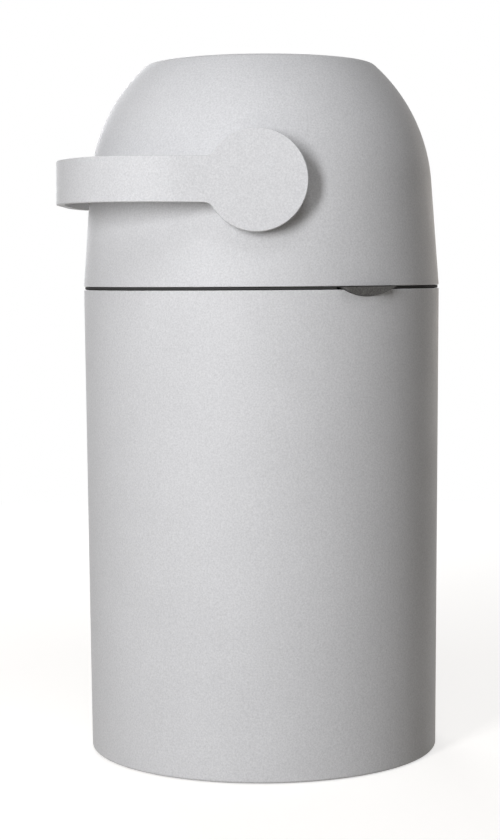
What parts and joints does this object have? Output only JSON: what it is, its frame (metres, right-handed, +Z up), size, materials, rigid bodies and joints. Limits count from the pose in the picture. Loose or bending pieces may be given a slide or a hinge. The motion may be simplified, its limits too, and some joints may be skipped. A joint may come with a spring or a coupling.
{
  "type": "nappy bin",
  "caption": "Tall round nappy bin with a domed head, a side-hung carry handle that turns an inner drum, a press tab at the seam and a bag ring inside.",
  "frame": {"origin": "on the floor, in the middle of the box round the bin and its handle", "axes": "+Z up; the handle's pivot lies along X, and the handle rests level towards -Y"},
  "size_m": [0.28, 0.2814, 0.51],
  "materials": {
    "satin_silver": "satin, fine-grained silver grey",
    "mid_grey": "fine matte, moulded",
    "dark_grey": "satin, moulded",
    "slate_grey": "satin, moulded",
    "rubber": "matte",
    "steel": "plain zinc-plated"
  },
  "bodies": {
    "pail": {"pail": "satin_silver", "bag_ring": "mid_grey", "hinge_pin": "steel", "latch_housing": "mid_grey", "button_spring": "steel", "latch_screw_1": "steel", "latch_screw_2": "steel", "foot_pad_1": "rubber", "foot_pad_2": "rubber", "foot_pad_3": "rubber", "foot_pad_4": "rubber"},
    "head": {"head_shell": "satin_silver", "feed_collar": "mid_grey", "head_tray": "dark_grey", "upper_seal": "rubber", "lower_seal": "rubber", "rim_seal": "rubber", "tray_screw_1": "steel", "tray_screw_2": "steel", "tray_screw_3": "steel", "tray_screw_4": "steel", "bearing_bush_right": "dark_grey", "bearing_bush_left": "dark_grey"},
    "drum": {"handle": "satin_silver", "drum_barrel": "mid_grey", "piston_retainer": "mid_grey", "drum_cap_right": "mid_grey", "drum_cap_left": "mid_grey", "cap_screw_1": "steel", "cap_screw_2": "steel", "cap_screw_3": "steel", "cap_screw_4": "steel", "hub_screw_right": "steel", "hub_screw_left": "steel", "hub_washer_right": "steel", "hub_washer_left": "steel"},
    "piston": {"piston_upper": "mid_grey", "piston_lower": "mid_grey", "piston_seal": "rubber", "piston_screw": "steel"},
    "button": {"release_button": "slate_grey"}
  },
  "joints": [
    {"name": "head_hinge", "type": "hinge", "parent": "pail", "child": "head", "pos_m": [-0.11304, -0.0711, 0.3455], "axis": [0.5736, -0.8192, 0], "range_deg": [0, 95]},
    {"name": "handle_flip", "type": "hinge", "parent": "head", "child": "drum", "pos_m": [0, 0.00805, 0.4193], "axis": [-1, 0, 0], "range_deg": [0, 180]},
    {"name": "piston_drop", "type": "slide", "parent": "drum", "child": "piston", "axis": [0, 0, 1], "range_m": [0, 0.0885]},
    {"name": "release_press", "type": "slide", "parent": "pail", "child": "button", "axis": [-0.8192, -0.5736, 0], "range_m": [0, 0.004], "stiffness_N_per_m": 400, "springref_m": -0.005, "deforming": ["button_spring"]}
  ]
}
